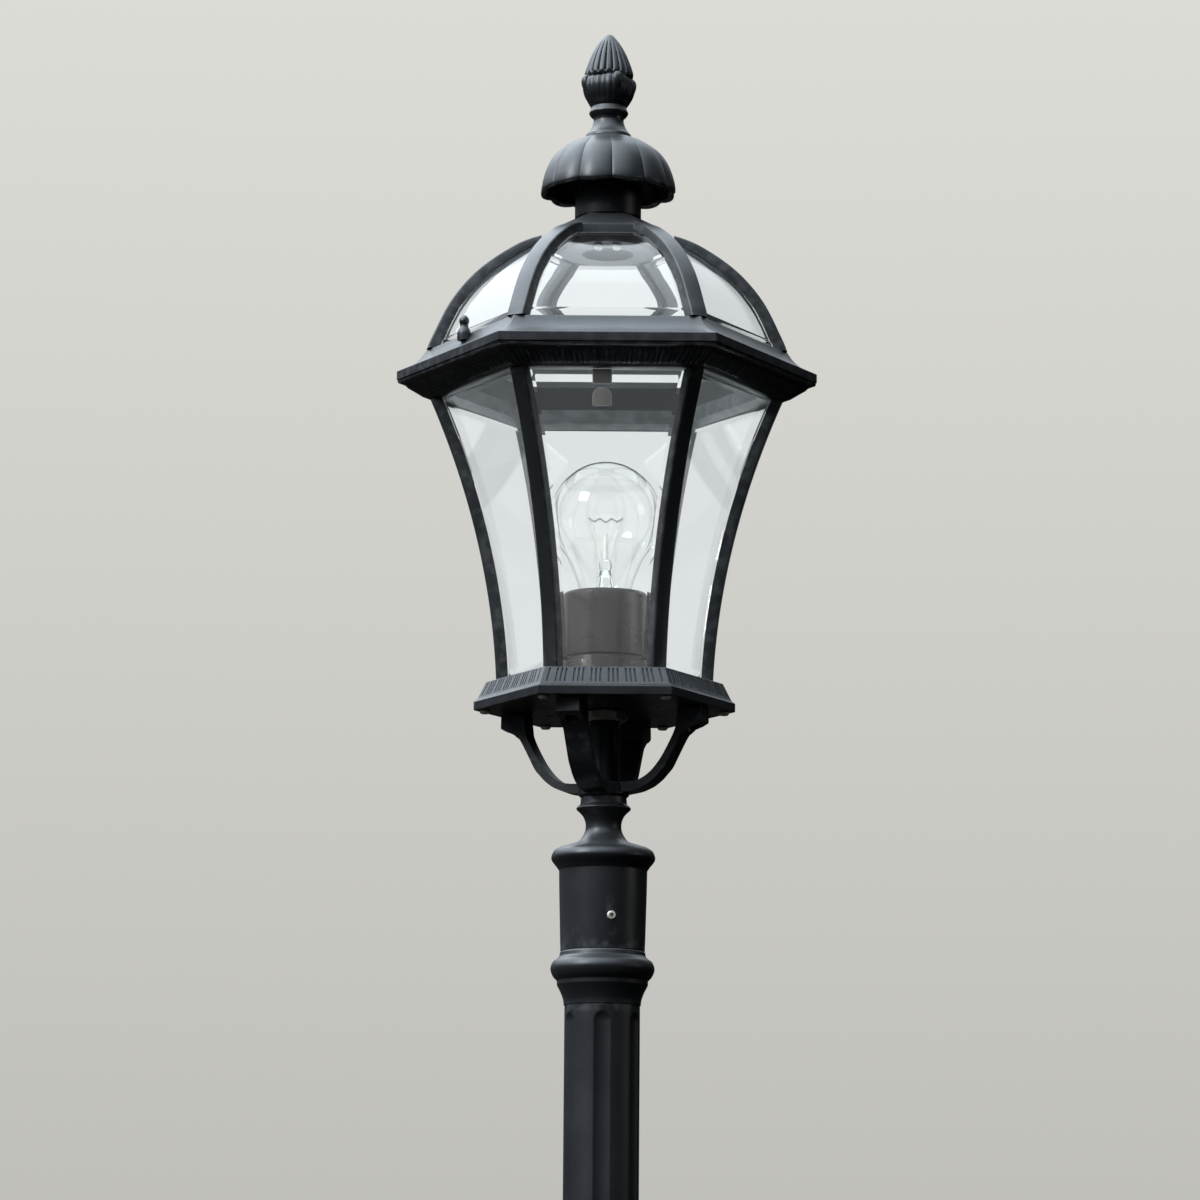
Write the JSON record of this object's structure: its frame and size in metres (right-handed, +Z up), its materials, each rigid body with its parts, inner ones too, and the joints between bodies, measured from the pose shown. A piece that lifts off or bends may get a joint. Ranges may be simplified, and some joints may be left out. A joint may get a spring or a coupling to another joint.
{
  "type": "street lamp post",
  "caption": "Slender fluted lamp post on a bell foot with a six-sided glazed lantern, domed glass roof, vent hood and finial.",
  "frame": {"origin": "centre of the foot's underside, on the ground", "axes": "+Z up along the post, -Y the lantern's front face, +X to its right"},
  "size_m": [0.23, 0.22, 2.25],
  "materials": {
    "post_coat": "satin black powder coat",
    "lantern_coat": "satin black powder coat",
    "side_glass": "clear bevelled glass",
    "roof_glass": "clear bent glass",
    "bulb_glass": "clear thin blown glass",
    "zinc_plate": "zinc plated",
    "holder_plastic": "dark brown moulded plastic",
    "brass_cap": "stamped brass"
  },
  "bodies": {
    "root": {"base_casting": "post_coat", "lower_tube": "post_coat", "mid_coupling": "post_coat", "upper_tube": "post_coat", "post_capital": "post_coat"},
    "head": {"head_fitter": "lantern_coat", "cradle": "lantern_coat", "conduit_tube": "lantern_coat", "conduit_nut_lower": "zinc_plate", "conduit_nut_upper": "zinc_plate", "cradle_screw_1": "zinc_plate", "cradle_screw_2": "zinc_plate", "cradle_screw_3": "zinc_plate", "cradle_screw_4": "zinc_plate", "tray": "lantern_coat", "side_rib_1": "lantern_coat", "side_rib_2": "lantern_coat", "side_rib_3": "lantern_coat", "side_rib_4": "lantern_coat", "side_rib_5": "lantern_coat", "side_rib_6": "lantern_coat", "side_pane_1": "side_glass", "side_pane_2": "side_glass", "side_pane_3": "side_glass", "side_pane_4": "side_glass", "side_pane_5": "side_glass", "side_pane_6": "side_glass", "top_frame": "lantern_coat", "pane_keeper": "zinc_plate", "pane_tab": "zinc_plate", "lampholder": "holder_plastic"},
    "bulb": {"bulb_glass": "bulb_glass", "bulb_stem": "bulb_glass", "bulb_cap": "brass_cap"},
    "roof": {"roof_rim": "lantern_coat", "roof_rib_1": "lantern_coat", "roof_rib_2": "lantern_coat", "roof_rib_3": "lantern_coat", "roof_rib_4": "lantern_coat", "roof_rib_5": "lantern_coat", "roof_rib_6": "lantern_coat", "roof_pane_1": "roof_glass", "roof_pane_2": "roof_glass", "roof_pane_3": "roof_glass", "roof_pane_4": "roof_glass", "roof_pane_5": "roof_glass", "roof_pane_6": "roof_glass", "roof_crown": "lantern_coat", "crown_screw_1": "zinc_plate", "crown_screw_2": "zinc_plate", "chimney": "lantern_coat", "canopy": "lantern_coat", "finial": "lantern_coat", "finial_nut": "zinc_plate"},
    "head_set_screw_1": {"head_set_screw_1": "zinc_plate"},
    "head_set_screw_2": {"head_set_screw_2": "zinc_plate"},
    "head_set_screw_3": {"head_set_screw_3": "zinc_plate"},
    "roof_knob_1": {"roof_knob_1": "lantern_coat"},
    "roof_knob_2": {"roof_knob_2": "lantern_coat"}
  },
  "joints": [
    {"name": "head_swivel", "type": "hinge", "parent": "root", "child": "head", "pos_m": [0, 0, 1.758], "axis": [0, 0, 1], "range_deg": [-180, 180]},
    {"name": "roof_lift", "type": "slide", "parent": "head", "child": "roof", "axis": [0, 0, 1], "range_m": [0, 0.25]},
    {"name": "bulb_withdraw", "type": "slide", "parent": "head", "child": "bulb", "axis": [0, 0, 1], "range_m": [0, 0.06]},
    {"name": "set_screw_1_turn", "type": "hinge", "parent": "head", "child": "head_set_screw_1", "pos_m": [0.00419, -0.02058, 1.7582], "axis": [0.1994, -0.9799, 0], "continuous": true},
    {"name": "set_screw_2_turn", "type": "hinge", "parent": "head", "child": "head_set_screw_2", "pos_m": [0.01573, 0.01392, 1.7582], "axis": [0.749, 0.6626, 0], "continuous": true},
    {"name": "set_screw_3_turn", "type": "hinge", "parent": "head", "child": "head_set_screw_3", "pos_m": [-0.01991, 0.00666, 1.7582], "axis": [-0.9483, 0.3173, 0], "continuous": true},
    {"name": "roof_knob_1_turn", "type": "hinge", "parent": "roof", "child": "roof_knob_1", "pos_m": [-0.07699, -0.04445, 2.068], "axis": [0, 0, 1], "continuous": true},
    {"name": "roof_knob_2_turn", "type": "hinge", "parent": "roof", "child": "roof_knob_2", "pos_m": [0.07699, 0.04445, 2.068], "axis": [0, 0, 1], "continuous": true}
  ]
}
